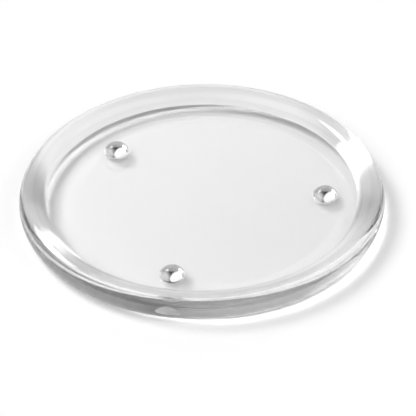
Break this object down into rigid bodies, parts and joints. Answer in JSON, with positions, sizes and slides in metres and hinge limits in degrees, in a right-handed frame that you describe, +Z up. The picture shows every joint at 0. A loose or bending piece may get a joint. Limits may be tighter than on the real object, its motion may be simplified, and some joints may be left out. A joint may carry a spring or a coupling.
{
  "type": "candle plate",
  "caption": "Round clear glass candle plate: a flat disc with a thick round bead for a rim, and small domed rests that hold a pillar candle off its floor.",
  "frame": {"origin": "on the table, under the middle of the plate's flat underside", "axes": "+Z up along the plate's axis, +X to the right and +Y away from the viewer as the picture shows it"},
  "size_m": [0.12, 0.12, 0.009],
  "materials": {
    "plate_glass": "clear pressed glass, fire-polished",
    "rest_glass": "clear glass dome, smooth",
    "bond_resin": "clear cured resin"
  },
  "bodies": {
    "root": {"glass_plate": "plate_glass", "left_rest": "rest_glass", "right_rest": "rest_glass", "front_rest": "rest_glass", "left_bond": "bond_resin", "right_bond": "bond_resin", "front_bond": "bond_resin"}
  },
  "joints": []
}
